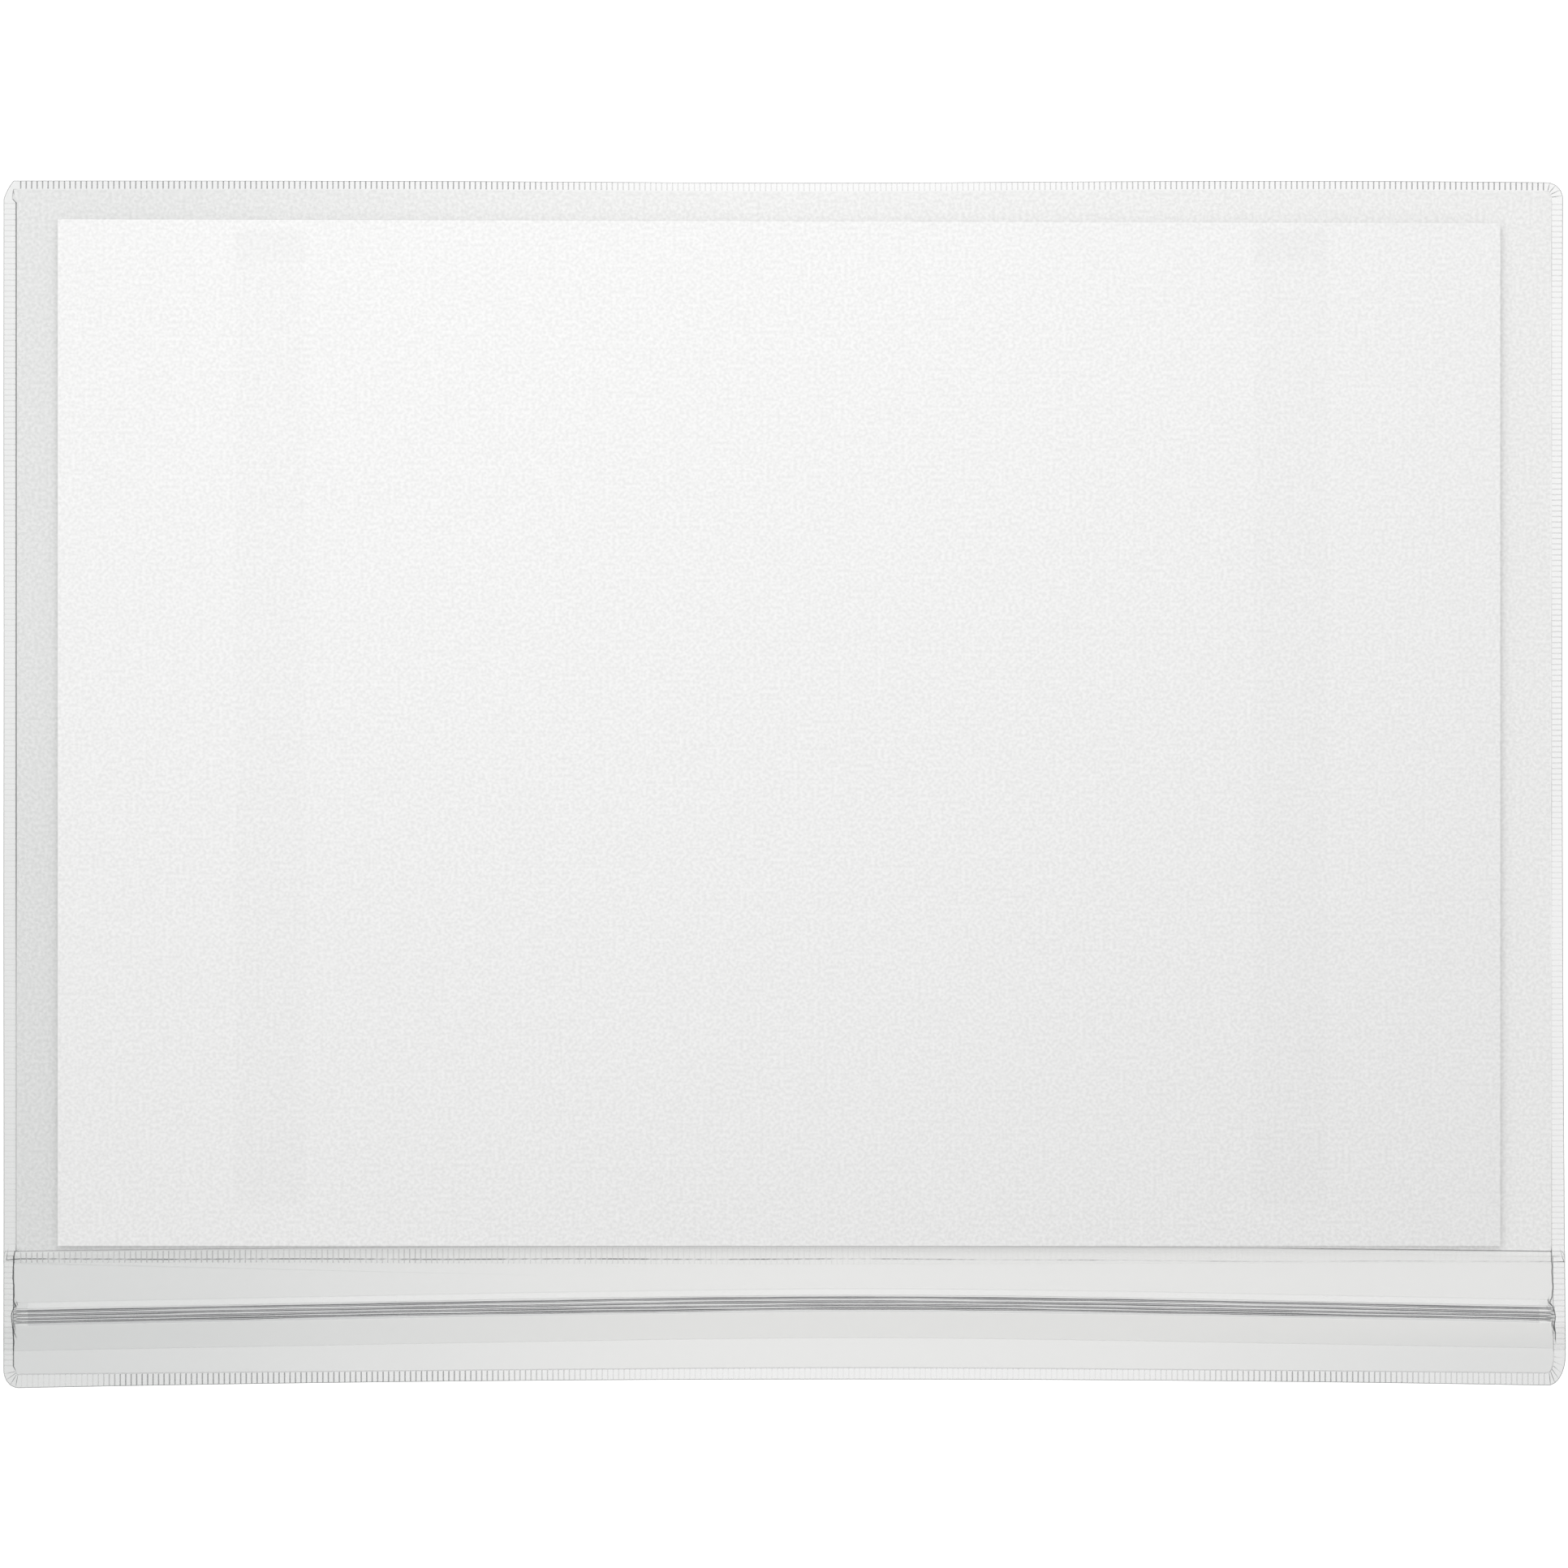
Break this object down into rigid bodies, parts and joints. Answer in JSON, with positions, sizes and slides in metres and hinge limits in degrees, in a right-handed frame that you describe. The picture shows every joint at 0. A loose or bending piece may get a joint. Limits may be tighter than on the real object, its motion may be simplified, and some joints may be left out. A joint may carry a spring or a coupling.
{
  "type": "magnetic document pocket",
  "caption": "Clear film pocket for an A4 sheet, welded round its edges, with a press-to-close zip along the lower front and magnet strips on its back",
  "frame": {"origin": "centre of the overall bounding box in X and Y, at the lowest surface, which is the underside of the magnet strips", "axes": "the pocket lies on its back: +X along the length to the right as seen from the front, +Y towards the top edge, +Z out of the front face"},
  "size_m": [0.321, 0.248, 0.0029],
  "materials": {
    "clear_film": "smooth clear flexible film",
    "grained_film": "clear flexible film with a fine embossed grain",
    "white_paper": "plain white printer paper",
    "magnet_rubber": "dark flexible magnetic rubber",
    "white_tape": "off-white adhesive tape"
  },
  "bodies": {
    "root": {"back_film": "clear_film", "front_film": "grained_film", "zip_front_strip": "clear_film", "zip_rear_strip": "clear_film", "insert_sheet": "white_paper", "magnet_strip_left": "magnet_rubber", "magnet_strip_right": "magnet_rubber", "adhesive_tape_left": "white_tape", "adhesive_tape_right": "white_tape"}
  },
  "joints": []
}
